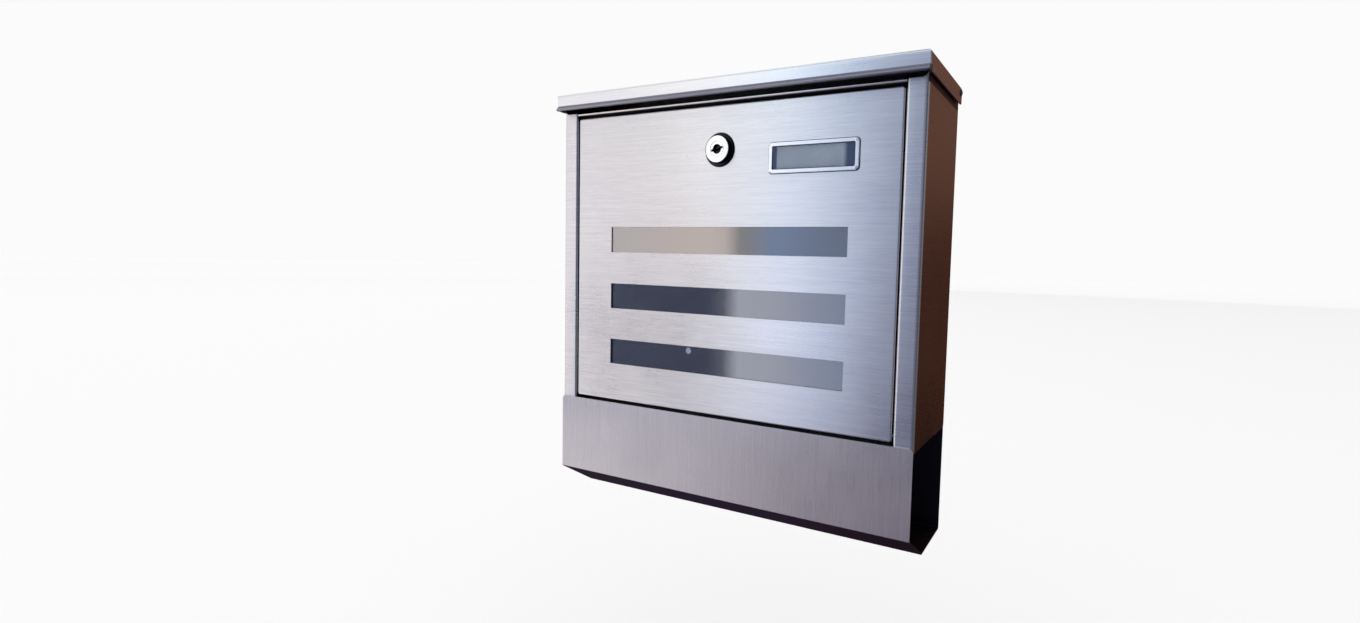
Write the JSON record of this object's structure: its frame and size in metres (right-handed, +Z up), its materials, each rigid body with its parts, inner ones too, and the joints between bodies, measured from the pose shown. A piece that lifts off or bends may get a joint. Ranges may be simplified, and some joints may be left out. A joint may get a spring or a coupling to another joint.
{
  "type": "wall mounted mailbox",
  "caption": "Flat sheet-metal wall mailbox with a lifting lid, a drop-down windowed door with cam lock and name plate, and an open newspaper channel below.",
  "frame": {"origin": "centre of the four wall holes, on the back face of the casing", "axes": "+Z up, +Y back into the wall, +X to the right seen from the front"},
  "size_m": [0.3064, 0.0994, 0.3315],
  "materials": {
    "steel_casing": "brushed along the width on the front, up and down on the sides",
    "steel_door": "fine horizontal brushing, satin",
    "steel_lid": "fine horizontal brushing, satin",
    "steel_holder": "fine vertical brushing, satin",
    "zinc_hardware": "bright zinc plate, semi-matte",
    "chrome_lock": "polished chrome plate",
    "satin_frame": "satin",
    "clear_acrylic": "clear and glossy",
    "clear_label": "clear and glossy",
    "dark_card": "matt, blank",
    "black_nylon": "moulded, fine grain",
    "black_rubber": "matt"
  },
  "bodies": {
    "body": {"casing": "steel_casing", "bottom_panel": "steel_casing", "header": "steel_casing", "slot_guard": "steel_casing", "newspaper_holder": "steel_holder", "holder_screws": "zinc_hardware", "holder_nuts": "zinc_hardware", "door_pins": "zinc_hardware", "lid_rivets": "zinc_hardware", "lid_washers": "black_nylon", "door_bumpers": "black_rubber"},
    "lid": {"lid": "steel_lid", "lid_bumpers": "black_rubber"},
    "door": {"door_pan": "steel_door", "window_pane": "clear_acrylic", "pane_rails": "zinc_hardware", "lock_body": "chrome_lock", "lock_washer": "zinc_hardware", "lock_nut": "zinc_hardware", "name_frame": "satin_frame", "name_window": "clear_label", "name_card": "dark_card", "name_backplate": "black_nylon"},
    "lock_plug": {"lock_plug": "chrome_lock", "lock_cam": "zinc_hardware", "cam_washer": "zinc_hardware", "cam_screw": "zinc_hardware"}
  },
  "joints": [
    {"name": "lid_hinge", "type": "hinge", "parent": "body", "child": "lid", "pos_m": [0, -0.0047, 0.1299], "axis": [-1, 0, 0], "range_deg": [0, 90]},
    {"name": "door_hinge", "type": "hinge", "parent": "body", "child": "door", "pos_m": [0, -0.086, -0.108], "axis": [1, 0, 0], "range_deg": [0, 90]},
    {"name": "lock_turn", "type": "hinge", "parent": "door", "child": "lock_plug", "pos_m": [0, -0.09, 0.0837], "axis": [0, 1, 0], "range_deg": [0, 90]}
  ]
}
